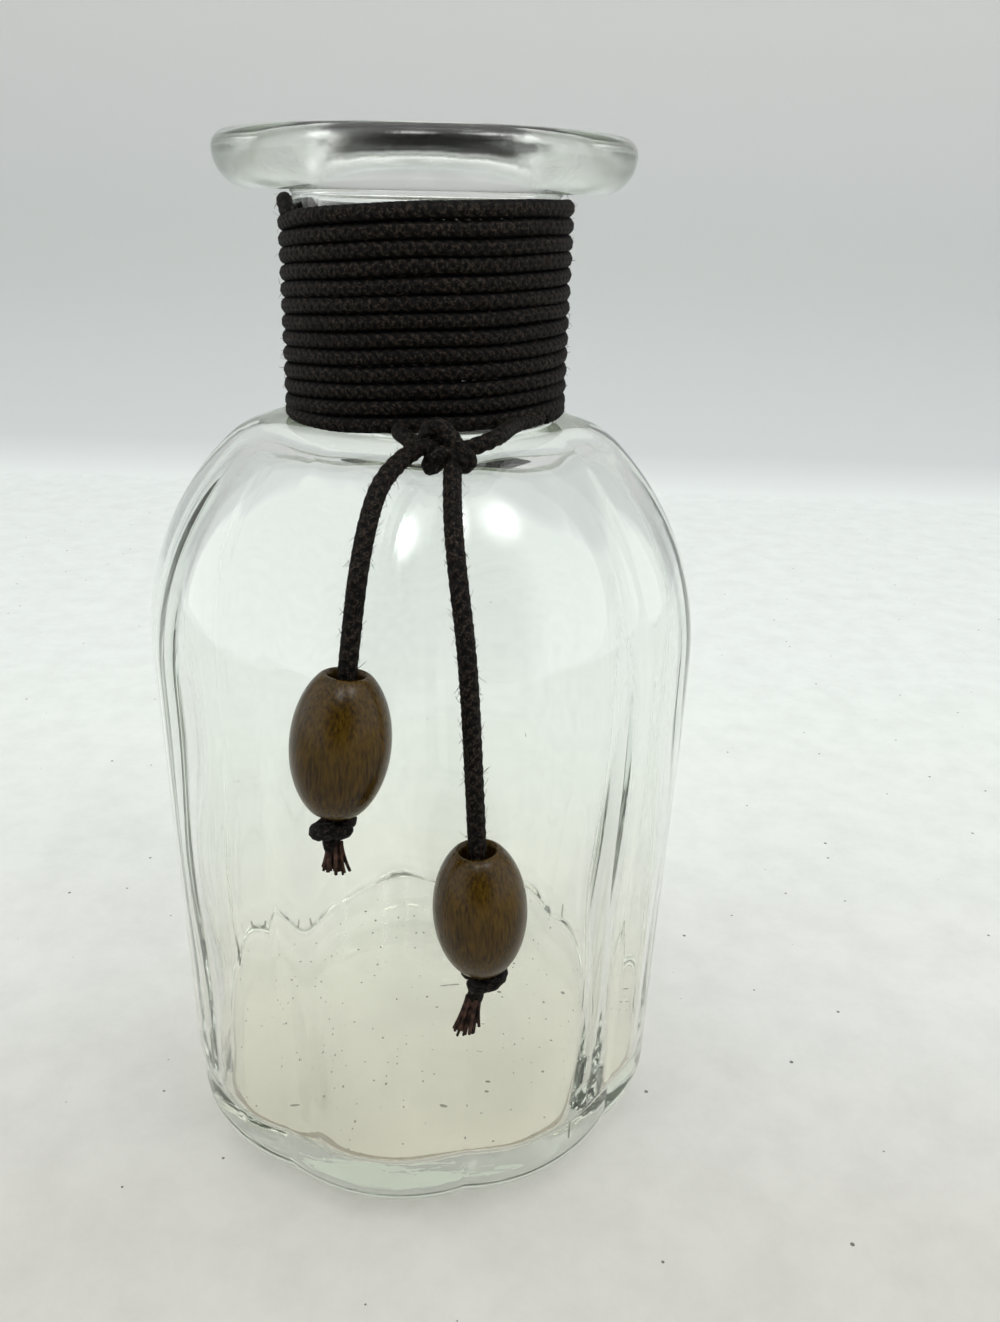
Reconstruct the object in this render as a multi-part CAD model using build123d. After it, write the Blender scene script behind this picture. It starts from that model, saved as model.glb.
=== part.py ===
"""Fluted glass bottle with a cord-wound neck and two wooden beads on the cord's ends.

Millimetres, +Z up. The origin is the centre of the base, on the surface that the bottle
stands on. The front, where the cord is tied, faces -Y. Radii of the glass body are taken
over its lobes.
"""

import os
from math import asin, atan2, cos, degrees, floor, pi, radians, sin, sqrt, tan

from build123d import *

# Glass body, outside
wall_radius = 42.0               # just above the heel
heel_radius = 8.0                # rounding between the base and the wall
shoulder_swell = 1.3             # how much wider the wall is where the dome starts
dome_start_height = 84.66
shelf_edge_radius = 11.5         # rounding between the dome and the shelf
shelf_width = 3.1                # flat shelf around the foot of the neck
standing_ring_width = 7.0        # between the heel and the hollow under the base
punt_depth = 0.3                 # of that hollow

# Glass body, inside
glass_wall = 3.4
floor_thickness = 9.5
floor_corner_radius = 4.0

# Flutes
lobe_count = 9
lobe_turn = 33.4                 # degrees from the front to the middle of a lobe
outer_flute_depth = 0.8
inner_flute_depth = 1.9
rib_sharpness = 1.6              # above 1, the ribs are narrower than the lobes
faint_flute_share = 0.03         # of its depth, where a flute fades out

# Neck and lip
neck_radius = 18.9
neck_wall = 3.2
neck_length = 31.2               # from the shelf to the underside of the lip
neck_root_radius = 0.8
throat_radius = 2.5              # rounding from the cavity into the bore
lip_reach = 10.5                 # past the neck
lip_top_radius = 2.2
lip_bottom_radius = 5.1
lip_root_radius = 0.7
mouth_edge_radius = 1.4

# Winding on the neck
wound_diameter = 2.08            # the cord is squeezed a little where it is wound
winding_spacing = 0.02           # least gap between turns: as many turns are wound as fit
winding_seat = 0.05              # between the cord and the neck
winding_lip_gap = 0.26           # between the first turn and the underside of the lip
winding_shelf_gap = 0.10         # between the last turn and the shelf
winding_start_turn = -66.0       # degrees from the front, negative to the left
winding_end_turn = 60.0

# The knot and the cord's routes are placed from the glass: each point is given as its
# distance across, its distance in front of the glass, and its height above the shelf.
# Tie knot, and the strands that run to it
knot_place = (5.5, 8.7, 1.6)
knot_strand_diameter = 1.9
knot_length = 6.2
knot_pitch = 6.3
knot_strand_gap = 0.06
knot_bight_radius = 1.25
knot_bight_rise = 0.7
strand_diameter = 2.0
left_strand_points = [
    (-2.4, -0.6, 1.2),
    (-0.8, 3.4, 1.2),
    (3.4, 8.1, 2.1),
]
right_strand_lead = 9.0          # straight stretch as it leaves the winding
right_strand_end = (7.6, 8.8, 1.8)

# Free cord ends, from the knot to the stop knot
cord_diameter = 2.2
left_tail_points = [
    (1.2, 9.2, 0.6),
    (-2.0, 9.3, -0.9),
    (-3.7, 10.2, -5.9),
    (-4.9, 9.3, -16.6),
    (-7.1, 7.7, -40.4),
]
right_tail_points = [
    (5.8, 6.2, -1.0),
    (6.0, 6.4, -4.8),
    (7.0, 6.8, -11.3),
    (8.7, 6.8, -21.1),
    (9.8, 6.5, -36.1),
    (11.5, 7.4, -63.9),
]
run_share = 0.45                 # share of the shorter run that each arc takes

# Beads
bead_diameter = 12.2
bead_length = 17.6
bead_end_radius = 2.9            # flat round each end of the hole
bead_hole_diameter = 4.0
bead_edge_radius = 0.4
bead_rest_gap = 0.3              # above the stop knot

# Stop knots and frayed ends
wrap_diameter = 2.0
wrap_turns = 1.25
wrap_spacing = 0.05              # between neighbouring turns, and round the core
core_diameter = 2.0
fray_end_radius = 1.9
left_fray_drop = 5.0
left_fray_lean = (0.16, -0.05)   # sideways and forward run for each unit of drop
right_fray_drop = 7.0
right_fray_lean = (-0.42, -0.06)

# How finely the body's outline and the coiled cord are sectioned, the overrun of cuts, and
# the point tolerance
corner_steps = 6
wall_steps = 3
dome_steps = 7
edge_steps = 2
coil_sides = 8
overrun = 2.0
tolerance = 1e-6

# Heights and radii that follow from the sizes above
shoulder_radius = wall_radius + shoulder_swell
shelf_radius = neck_radius + shelf_width
edge_reach = shoulder_radius - shelf_edge_radius
edge_centre_height = dome_start_height + sqrt(edge_reach ** 2 - shelf_radius ** 2)
edge_turn = atan2(edge_centre_height - dome_start_height, shelf_radius)
shelf_height = edge_centre_height + shelf_edge_radius
cavity_height = shelf_height - glass_wall
punt_radius = wall_radius - heel_radius - standing_ring_width
bore_radius = neck_radius - neck_wall
lip_radius = neck_radius + lip_reach
lip_underside_height = shelf_height + neck_length
height = lip_underside_height + lip_bottom_radius + lip_top_radius
winding_radius = neck_radius + winding_seat + wound_diameter / 2
winding_low = shelf_height + winding_shelf_gap + wound_diameter / 2
winding_rise = neck_length - winding_lip_gap - winding_shelf_gap - wound_diameter
part_turn = (winding_end_turn - winding_start_turn) / 360
turns_that_fit = winding_rise / (wound_diameter + winding_spacing)
winding_turns = floor(turns_that_fit + part_turn) - part_turn
winding_pitch = winding_rise / winding_turns
wrap_radius = core_diameter / 2 + wrap_spacing + wrap_diameter / 2
wrap_pitch = wrap_diameter + wrap_spacing
stop_knot_height = wrap_turns * wrap_pitch + wrap_diameter


def lobed_face(radius, depth, z):
    """Outer section: one arc for each lobe, meeting its neighbours at a crease."""
    half = pi / lobe_count
    crease = radius - depth
    edges = []
    for i in range(lobe_count):
        middle = radians(lobe_turn - 90) + 2 * half * i
        edges.append(ThreePointArc(
            (crease * cos(middle - half), crease * sin(middle - half)),
            (radius * cos(middle), radius * sin(middle)),
            (crease * cos(middle + half), crease * sin(middle + half)),
        ))
    return Plane.XY.offset(z) * make_face(edges)


def ribbed_face(radius, depth, z):
    """Inner section: a smooth wave with a rounded rib behind each crease."""
    steps = 4 * lobe_count
    points = []
    for i in range(steps):
        turn = 2 * pi * i / steps
        rib = ((1 - cos(lobe_count * turn)) / 2) ** rib_sharpness
        angle = turn + radians(lobe_turn - 90)
        r = radius - depth * rib
        points.append((r * cos(angle), r * sin(angle)))
    return Plane.XY.offset(z) * make_face(Spline(*points, periodic=True))


def wall_profile(z):
    """Outer radius between the heel and the dome: the wall swells towards the shoulder."""
    t = (z - heel_radius) / (dome_start_height - heel_radius)
    return wall_radius + (shoulder_radius - wall_radius) * t * t * (3 - 2 * t)


def skin_stretches(inset, corner_radius, low):
    """Radii and heights of the outer skin, or of one inside it: corner, wall and dome."""
    wall_low = low + corner_radius
    wall = []
    for i in range(wall_steps + 1):
        z = wall_low + i * (dome_start_height - wall_low) / wall_steps
        wall.append((wall_profile(z) - inset, z))
    corner_centre = wall[0][0] - corner_radius
    corner = []
    for i in range(corner_steps):
        turn = i * pi / 2 / corner_steps
        rise = corner_radius * (1 - cos(turn))
        corner.append((corner_centre + corner_radius * sin(turn), low + rise))
    corner.append(wall[0])
    skin = shoulder_radius - inset
    dome = [wall[-1]]
    for i in range(1, dome_steps + 1):
        turn = i * edge_turn / dome_steps
        dome.append((skin * cos(turn), dome_start_height + skin * sin(turn)))
    edge = shelf_edge_radius - inset
    for i in range(1, edge_steps + 1):
        turn = edge_turn + i * (pi / 2 - edge_turn) / edge_steps
        dome.append((shelf_radius + edge * cos(turn), edge_centre_height + edge * sin(turn)))
    return corner, wall, dome


def flute_share(r, low_radius, full_radius):
    """Flutes fade out where the skin draws in."""
    share = (r - low_radius) / (full_radius - low_radius)
    return max(faint_flute_share, min(1, share))


def outer_body():
    """Lobed outside of the body, from the standing ring to the shelf."""
    body = Part()
    for stretch in skin_stretches(0, heel_radius, 0):
        faces = []
        for r, z in stretch:
            share = flute_share(r, shelf_radius, wall_radius)
            faces.append(lobed_face(r, outer_flute_depth * share, z))
        body += loft(faces)
    return body


def cavity():
    """Ribbed inside of the body, above a thick floor."""
    full = wall_radius - glass_wall
    space = Part()
    for stretch in skin_stretches(glass_wall, floor_corner_radius, floor_thickness):
        faces = []
        for r, z in stretch:
            share = flute_share(r, shelf_radius, full)
            faces.append(ribbed_face(r, inner_flute_depth * share, z))
        space += loft(faces)
    return space


def rounded_outline(corners):
    """Closed face from corners given as radius, height and rounding."""
    trims = []
    for i, (r, z, rounding) in enumerate(corners):
        here = Vector(r, z)
        before = (Vector(*corners[i - 1][:2]) - here).normalized()
        after = (Vector(*corners[(i + 1) % len(corners)][:2]) - here).normalized()
        if not rounding:
            trims.append((here, None, here))
            continue
        half = radians(before.get_angle(after)) / 2
        reach = rounding / tan(half)
        inward = (before + after).normalized()
        middle = here + inward * (rounding / sin(half) - rounding)
        trims.append((here + before * reach, middle, here + after * reach))
    edges = []
    for i, (arrive, middle, leave) in enumerate(trims):
        previous = trims[i - 1][2]
        if (arrive - previous).length > tolerance:
            edges.append(Line(previous, arrive))
        if middle is not None:
            edges.append(ThreePointArc(arrive, middle, leave))
    return make_face(edges)


def spin(face):
    """Solid turned about the Z axis from a face drawn as radius and height."""
    return revolve(Plane.XZ * face, axis=Axis.Z)


def neck_and_lip():
    """Straight neck with the wide rounded lip, solid until the bore is cut."""
    foot = shelf_height - overrun
    root = neck_radius + neck_root_radius
    return spin(rounded_outline([
        (0, foot, 0),
        (root, foot, 0),
        (root, shelf_height, 0),
        (neck_radius, shelf_height, neck_root_radius),
        (neck_radius, lip_underside_height, lip_root_radius),
        (lip_radius, lip_underside_height, lip_bottom_radius),
        (lip_radius, height, lip_top_radius),
        (0, height, 0),
    ]))


def bore():
    """Bore of the neck, flaring into the cavity below and rounded at the mouth."""
    mouth = bore_radius + mouth_edge_radius
    throat = bore_radius + throat_radius
    straight = spin(rounded_outline([
        (0, cavity_height - overrun, 0),
        (throat, cavity_height - overrun, 0),
        (throat, cavity_height, 0),
        (bore_radius, cavity_height, throat_radius),
        (bore_radius, height + overrun, 0),
        (0, height + overrun, 0),
    ]))
    ring = spin(rounded_outline([
        (bore_radius, height - mouth_edge_radius, 0),
        (mouth, height - mouth_edge_radius, 0),
        (mouth, height, 0),
        (bore_radius, height, 0),
    ]))
    rounding = Pos(0, 0, height - mouth_edge_radius) * Torus(mouth, mouth_edge_radius)
    return straight + (ring - rounding)


def punt():
    """Shallow hollow under the base, so that the bottle stands on a ring."""
    sphere_radius = (punt_radius ** 2 + punt_depth ** 2) / (2 * punt_depth)
    low = punt_depth - sphere_radius
    arc = ThreePointArc(
        (punt_radius, 0),
        (sphere_radius * sin(punt_radius / sphere_radius / 2),
         low + sphere_radius * cos(punt_radius / sphere_radius / 2)),
        (0, punt_depth),
    )
    return spin(make_face([
        arc,
        Line((0, punt_depth), (0, -overrun)),
        Line((0, -overrun), (punt_radius, -overrun)),
        Line((punt_radius, -overrun), (punt_radius, 0)),
    ]))


def glass_bottle():
    """One piece of glass: body, neck and lip, hollowed from the floor to the mouth."""
    return outer_body() + neck_and_lip() - cavity() - bore() - punt()


def glass_radius(z):
    """Outer radius of the glass at a height, or of the shelf at any height above it."""
    if z > shelf_height:
        return shelf_radius
    if z > dome_start_height + shoulder_radius * sin(edge_turn):
        return shelf_radius + sqrt(shelf_edge_radius ** 2 - (z - edge_centre_height) ** 2)
    if z > dome_start_height:
        return sqrt(shoulder_radius ** 2 - (z - dome_start_height) ** 2)
    return wall_profile(z)


def before_glass(across, gap, rise):
    """Point in front of the glass, at a height above the shelf."""
    z = shelf_height + rise
    return Vector(across, -sqrt((glass_radius(z) + gap) ** 2 - across ** 2), z)


def tube(path, diameter):
    """Round cord along a path."""
    return sweep(Plane(path @ 0, z_dir=path % 0) * Circle(diameter / 2), path=path)


def coil(radius, pitch, turns, diameter):
    """Right-handed turns of cord that rise from the XY plane and start on +X."""
    path = Helix(pitch, turns * pitch, radius)
    section = Plane(path @ 0, z_dir=path % 0) * RegularPolygon(diameter / 2, coil_sides)
    return sweep(section, path=path, is_frenet=True)


def cord_path(name, route):
    """Straight runs joined by tangent arcs as large as the runs allow."""
    radii = []
    for before, here, after in zip(route, route[1:], route[2:]):
        arriving = here - before
        leaving = after - here
        half_turn = radians(arriving.get_angle(leaving)) / 2
        radii.append(run_share * min(arriving.length, leaving.length) / tan(half_turn))
    print(name, "arc radii", [round(radius, 1) for radius in radii])
    return FilletPolyline(*route, radius=radii)


def free_tail(name, route):
    """Free cord end. It starts with a ball, about which it swings in the knot."""
    path = cord_path(name, route)
    body = tube(path, cord_diameter)
    section = pi * cord_diameter ** 2 / 4
    print(name, "volume over section x length", round(body.volume / (section * path.length), 4))
    return body + Pos(route[0]) * Sphere(cord_diameter / 2)


def winding_point(turn, z):
    """Centre of the wound cord at an angle from the front, positive to the right."""
    angle = radians(turn - 90)
    return Vector(winding_radius * cos(angle), winding_radius * sin(angle), z)


def neck_winding():
    """The wound cord: it starts under the lip and ends where the right strand leaves."""
    turns = coil(winding_radius, winding_pitch, winding_turns, wound_diameter)
    return Pos(0, 0, winding_low) * Rot(0, 0, winding_end_turn - 90) * turns


def right_strand():
    """From the end of the winding straight off, then bent into the knot."""
    start = winding_point(winding_end_turn, winding_low)
    angle = radians(winding_end_turn)
    leave = Vector(-cos(angle), -sin(angle), -winding_pitch / (2 * pi * winding_radius))
    route = [
        start,
        start + leave.normalized() * right_strand_lead,
        before_glass(*right_strand_end),
    ]
    return tube(cord_path("right_strand", route), strand_diameter)


def left_strand():
    """The cord's lead comes out from under the winding and runs into the knot."""
    route = [before_glass(*point) for point in left_strand_points]
    return tube(cord_path("left_strand", route), strand_diameter)


def tie_knot():
    """Two strands twisted about each other, with a bight over the top."""
    offset = (knot_strand_diameter + knot_strand_gap) / 2
    strand = coil(offset, knot_pitch, knot_length / knot_pitch, knot_strand_diameter)
    centre = before_glass(*knot_place)
    place = Plane(centre, z_dir=(1, 0, 0)).offset(-knot_length / 2)
    pair = place * strand + place * Rot(0, 0, 180) * strand
    facing = Plane(centre, z_dir=(0, -1, 0))
    bight = facing * Torus(knot_bight_radius, knot_strand_diameter / 2)
    return pair + Pos(0, 0, knot_bight_rise) * bight


def down_axis(route):
    """Direction in which the cord leaves the bead."""
    return (route[-1] - route[-2]).normalized()


def bead(route):
    """Turned oval bead with flat ends, threaded on the last run of a tail."""
    half = bead_length / 2
    long_radius = half / sqrt(1 - (2 * bead_end_radius / bead_diameter) ** 2)
    side_turn = degrees(asin(half / long_radius))
    hole = bead_hole_diameter / 2
    side = EllipticalCenterArc(
        (0, 0), bead_diameter / 2, long_radius, start_angle=-side_turn, arc_size=2 * side_turn
    )
    low, high = side @ 0, side @ 1
    blank = spin(make_face([
        side,
        Line(high, (hole, high.Y)),
        Line((hole, high.Y), (hole, low.Y)),
        Line((hole, low.Y), low),
    ]))
    turned = fillet(blank.edges().filter_by(GeomType.CIRCLE), bead_edge_radius)
    up = down_axis(route) * -1
    centre = route[-1] + up * (bead_rest_gap + half)
    return Plane(centre, z_dir=up) * turned


def stop_knot(route):
    """The cord wrapped round its own end, close under the bead."""
    wraps = coil(wrap_radius, wrap_pitch, wrap_turns, wrap_diameter)
    place = Plane(route[-1], x_dir=(1, 0, 0), z_dir=down_axis(route))
    return place * Pos(0, 0, wrap_diameter / 2) * wraps


def frayed_end(route, drop, lean):
    """Core through the stop knot, opening into the frayed tip."""
    top = route[-1]
    down = down_axis(route)
    neck = top + down * stop_knot_height
    tip = neck + Vector(lean[0] * drop, lean[1] * drop, -drop)
    core = Plane(top, z_dir=down) * Cylinder(
        core_diameter / 2, stop_knot_height, align=(Align.CENTER, Align.CENTER, Align.MIN)
    )
    tuft = loft([
        Plane(neck, z_dir=down) * Circle(core_diameter / 2),
        Plane(tip, z_dir=tip - neck) * Circle(fray_end_radius),
    ])
    return core + tuft


os.makedirs("parts", exist_ok=True)
left_tail_route = [before_glass(*point) for point in left_tail_points]
right_tail_route = [before_glass(*point) for point in right_tail_points]
pieces = {
    "glass_bottle": glass_bottle(),
    "neck_winding": neck_winding(),
    "left_strand": left_strand(),
    "right_strand": right_strand(),
    "tie_knot": tie_knot(),
    "left_tail": free_tail("left_tail", left_tail_route),
    "right_tail": free_tail("right_tail", right_tail_route),
    "left_bead": bead(left_tail_route),
    "right_bead": bead(right_tail_route),
    "left_stop_knot": stop_knot(left_tail_route),
    "right_stop_knot": stop_knot(right_tail_route),
    "left_frayed_end": frayed_end(left_tail_route, left_fray_drop, left_fray_lean),
    "right_frayed_end": frayed_end(right_tail_route, right_fray_drop, right_fray_lean),
}
for name, route in (("left_tail", left_tail_route), ("right_tail", right_tail_route)):
    print(name, "route", [tuple(round(v, 3) for v in point) for point in route])
    print(name, "up", tuple(round(-v, 6) for v in down_axis(route)))
print("height", round(height, 3), "winding turns", round(winding_turns, 2))
print("bore from", round(cavity_height + throat_radius, 3), "to", round(height - mouth_edge_radius, 3))
for name, piece in pieces.items():
    export_step(piece, f"parts/{name}.step")
    box = piece.bounding_box()
    print(name, "low", [round(v, 2) for v in box.min], "high", [round(v, 2) for v in box.max])
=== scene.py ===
# %% [markdown]
# # A fluted glass bottle with a cord-wound neck
# This script dresses a imported solid model. The solids already have every true size, so each
# piece here is made in metres in the same place, and rides on the solid body it belongs to.
# It starts by loading those solids.

# %% Load the solids
import bpy
import math
import random
import numpy as np
from mathutils import Matrix, Vector


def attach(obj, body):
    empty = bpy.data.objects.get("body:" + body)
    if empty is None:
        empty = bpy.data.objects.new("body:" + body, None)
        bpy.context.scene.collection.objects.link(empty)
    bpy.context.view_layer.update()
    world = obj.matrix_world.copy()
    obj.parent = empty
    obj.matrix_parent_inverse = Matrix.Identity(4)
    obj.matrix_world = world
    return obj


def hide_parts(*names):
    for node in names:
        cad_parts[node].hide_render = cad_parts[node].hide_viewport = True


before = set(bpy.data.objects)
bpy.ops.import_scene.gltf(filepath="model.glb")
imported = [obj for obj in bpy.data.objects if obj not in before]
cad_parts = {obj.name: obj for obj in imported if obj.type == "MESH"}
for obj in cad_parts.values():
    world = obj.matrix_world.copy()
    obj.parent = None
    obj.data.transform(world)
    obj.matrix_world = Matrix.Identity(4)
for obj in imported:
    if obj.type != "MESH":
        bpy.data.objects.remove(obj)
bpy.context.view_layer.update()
mm = 0.001

# %% [markdown]
# The camera stands where the photographer stood: close in front of the bottle, a little
# above its lip, looking down at about 22 degrees and turned slightly about its own line of
# sight. A close camera makes the base look much narrower than the shoulder, so the distance
# matters more than the zoom. The lens is given on a 36 mm film height. Light is bounced about
# many times inside thick glass, and a path that is cut short ends black, so the limits on
# bounces are raised as well.

# %% Camera
camera_place = Vector((12.48, -161.64, 143.48)) * mm
camera_pitch = math.radians(21.66)
camera_roll = math.radians(1.84)
camera_data = bpy.data.cameras.new("camera")
camera_data.sensor_fit = "VERTICAL"
camera_data.sensor_height = 36
camera_data.lens = 28.3425
camera_data.clip_start = 0.005
camera_data.clip_end = 20
camera = bpy.data.objects.new("camera", camera_data)
bpy.context.scene.collection.objects.link(camera)
tilt_down = Matrix.Rotation(math.pi / 2 - camera_pitch, 4, "X")
turn_about_sight = Matrix.Rotation(camera_roll, 4, "Z")
camera.matrix_world = Matrix.Translation(camera_place) @ tilt_down @ turn_about_sight
bpy.context.scene.camera = camera
bpy.context.scene.view_settings.view_transform = "Standard"
paths = bpy.context.scene.cycles
paths.max_bounces = paths.glossy_bounces = paths.transmission_bounces = 32
print("lens", round(camera_data.lens, 2), "mm")

# %% [markdown]
# Cords come next, because everything else on the bottle hangs from them. A hanging cord is
# one smooth line: a few control points joined by a NURBS curve, which never kinks. Blender
# turns a curve with no thickness into a chain of points, and those points are the path on
# which the thread's surface is built.

# %% Smooth lines
def smooth_line(points, steps=24):
    """Points along the NURBS curve that has these control points, in metres."""
    curve = bpy.data.curves.new("line", "CURVE")
    curve.dimensions = "3D"
    spline = curve.splines.new("NURBS")
    spline.points.add(len(points) - 1)
    for place, point in zip(spline.points, points):
        place.co = (*point, 1)
    spline.order_u = 3
    spline.use_endpoint_u = True
    spline.resolution_u = steps
    holder = bpy.data.objects.new("line", curve)
    mesh = bpy.data.meshes.new_from_object(holder)
    found = np.array([tuple(v.co) for v in mesh.vertices])
    bpy.data.objects.remove(holder)
    bpy.data.curves.remove(curve)
    bpy.data.meshes.remove(mesh)
    return found


def evenly(points, spacing):
    """The same line with its points an even distance apart."""
    points = np.asarray(points, float)
    steps = np.linalg.norm(np.diff(points, axis=0), axis=1)
    along = np.concatenate([[0], np.cumsum(steps)])
    wanted = np.linspace(0, along[-1], max(2, round(along[-1] / spacing) + 1))
    return np.stack([np.interp(wanted, along, points[:, k]) for k in range(3)], 1)


def length_of(points):
    return float(np.linalg.norm(np.diff(points, axis=0), axis=1).sum())


# %% [markdown]
# The cord is braided cotton, waxed. Eight yarns run round it, four each way, and pass over
# and under one another. Instead of modelling eight yarns, the tube's own surface is raised
# where a yarn lies on top and sunk where two meet. The height of each point is also kept as
# an attribute, so that shade can be painted into the colour down in the braid. Where rows of cord
# press on each other the tube is taller than wide, and shade is painted on the sides where they
# meet too.

# %% Braided thread
def frames_along(points):
    """Tangent and two side vectors at each point, turning as little as possible."""
    tangent = np.gradient(points, axis=0)
    tangent /= np.linalg.norm(tangent, axis=1)[:, None]
    side = np.zeros_like(points)
    start = np.cross(tangent[0], (0.31, 0.12, 0.94))
    side[0] = start / np.linalg.norm(start)
    for i in range(1, len(points)):
        step = side[i - 1] - tangent[i] * np.dot(side[i - 1], tangent[i])
        side[i] = step / np.linalg.norm(step)
    return tangent, side, np.cross(tangent, side)


def new_object(name, vertices, faces, **attributes):
    """A smooth mesh object in the scene, with named values at its vertices."""
    mesh = bpy.data.meshes.new(name)
    mesh.from_pydata(vertices.tolist(), [], faces)
    for label, values in attributes.items():
        layer = mesh.attributes.new(label, "FLOAT", "POINT")
        layer.data.foreach_set("value", np.asarray(values, np.float32).ravel())
    mesh.polygons.foreach_set("use_smooth", [True] * len(mesh.polygons))
    mesh.update()
    made = bpy.data.objects.new(name, mesh)
    bpy.context.scene.collection.objects.link(made)
    return made


def tube_faces(rings, around, first=0):
    """Faces between rings of points, closed at both ends."""
    faces = []
    for i in range(rings - 1):
        low = first + i * around
        for j in range(around):
            k = (j + 1) % around
            faces.append((low + j, low + k, low + around + k, low + around + j))
    last = first + (rings - 1) * around
    faces.append(tuple(range(first + around - 1, first - 1, -1)))
    faces.append(tuple(range(last, last + around)))
    return faces


def braid_height(along, turn, lay_length):
    """0 down between the yarns, 1 on a yarn's crown."""
    right = 4 * (turn + along / lay_length)
    left = 4 * (turn - along / lay_length)
    over = (1 + np.cos(np.pi * (right + left))) / 2
    first = np.cos(np.pi * right) ** 2 * over
    second = np.cos(np.pi * left) ** 2 * (1 - over)
    return np.sqrt(np.maximum(first, second))


def braided(name, points, diameter, spacing=0.24 * mm, around=18, ends=0.0, press=1.0):
    """A braided tube along points, taller than wide by the factor `press` and then with painted
    shade where it meets its neighbours. Its radius shrinks by the share `ends` at both ends."""
    line = evenly(points, spacing)
    rings = len(line)
    tangent, side, other = frames_along(line)
    along = np.arange(rings)[:, None] * spacing
    turn = np.arange(around)[None, :] / around
    lay_length, crown_share, groove_share = 2.9 * diameter, 1.03, 0.22
    crown = braid_height(along, turn, lay_length)
    radius = diameter / 2 * (crown_share - groove_share * (1 - crown))
    if ends:
        near = np.minimum(along, along[-1] - along) / (diameter / 2)
        radius = radius * (1 - ends * (1 - np.clip(near, 0, 1)) ** 2)
    angle = 2 * math.pi * turn
    out = (
        side[:, None, :] * np.cos(angle)[..., None]
        + other[:, None, :] * np.sin(angle)[..., None]
    )
    if press > 1:
        # Painted shade: the colour is darkened on the sides where rows press together.
        contact_shade_share, dark_from, dark_over = 0.95, 0.62, 0.3
        contact_shade = np.clip((np.abs(out[..., 2]) - dark_from) / dark_over, 0, 1)
        crown = crown * (1 - contact_shade_share * contact_shade)
    out[..., 2] *= press
    vertices = (line[:, None, :] + out * radius[..., None]).reshape(-1, 3)
    return new_object(name, vertices, tube_faces(rings, around), crown=crown)


# %% [markdown]
# The two hanging ends have the same control points as the solid model's cord, in metres.
# The left one leaves the knot sideways and falls over the shoulder in a wide bend, the right
# one drops almost straight.

# %% Hanging ends
cord_diameter = 2.2 * mm
left_tail_points = [
    (1.2 * mm, -31.177 * mm, 119.722 * mm),
    (-2.0 * mm, -35.704 * mm, 118.222 * mm),
    (-3.7 * mm, -42.584 * mm, 113.222 * mm),
    (-4.9 * mm, -48.497 * mm, 102.522 * mm),
    (-7.1 * mm, -50.481 * mm, 78.722 * mm),
]
right_tail_points = [
    (5.8 * mm, -32.375 * mm, 118.122 * mm),
    (6.0 * mm, -37.467 * mm, 114.322 * mm),
    (7.0 * mm, -42.816 * mm, 107.822 * mm),
    (8.7 * mm, -47.192 * mm, 98.022 * mm),
    (9.8 * mm, -48.824 * mm, 83.022 * mm),
    (11.5 * mm, -48.939 * mm, 55.222 * mm),
]
left_tail_line = smooth_line(left_tail_points)
right_tail_line = smooth_line(right_tail_points)


def tail(name, line, node):
    """A hanging end, a tenth thicker than the plain tube to allow for its grooves."""
    piece = braided(name, line, 1.1 * cord_diameter, spacing=0.2 * mm, around=20, ends=0.3)
    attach(piece, node)
    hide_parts(node)
    return piece


left_tail = tail("left_tail_cord", left_tail_line, "left_tail")
right_tail = tail("right_tail_cord", right_tail_line, "right_tail")
print("tails mm", [round(length_of(line) / mm, 1) for line in (left_tail_line, right_tail_line)])

# %% [markdown]
# The glass. Light passes through four surfaces of it on the way to the eye, so its inside is
# drawn as carefully as its outside, and with many more faces than the solid model needs:
# every facet would show as a streak. The outline is drawn once, as radius and height from
# the centre of the base up the outside, over the lip, and down the inside to the floor. The
# edge of the mouth and the root of the neck are rounded much more inside than the solid's
# plain bore, since the bands of dark and light in the lip and the shelf come from there. The
# base is flat, because even a shallow hollow would show through the glass as a dark lens.

# %% Outline of the glass
def arc(centre, radius, start, end, count):
    """Points on an arc, angles in degrees, as radius and height in millimetres."""
    turns = np.radians(np.linspace(start, end, count))
    return [(centre[0] + radius * math.cos(t), centre[1] + radius * math.sin(t)) for t in turns]


wall_radius, shoulder_radius, dome_start = 42.0, 43.3, 84.66
heel_radius, shelf_radius, shelf_edge = 8.0, 22.0, 11.5
glass_wall, floor_thickness, floor_corner = 3.4, 9.5, 1.8
neck_radius, bore_radius, mouth_round = 18.9, 15.7, 4.6
neck_fillet, lip_fillet = 0.8, 0.7
lip_radius, lip_under_round, lip_top_round = 29.4, 5.1, 2.2
edge_centre = dome_start + math.sqrt((shoulder_radius - shelf_edge) ** 2 - shelf_radius ** 2)
shelf_height = edge_centre + shelf_edge
cavity_top = shelf_height - glass_wall
edge_turn = math.degrees(math.atan2(edge_centre - dome_start, shelf_radius))
lip_underside = shelf_height + 31.2


def wall_at(z):
    """The wall swells gently from the heel to the shoulder."""
    t = min(1.0, max(0.0, (z - heel_radius) / (dome_start - heel_radius)))
    return wall_radius + (shoulder_radius - wall_radius) * t * t * (3 - 2 * t)


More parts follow.
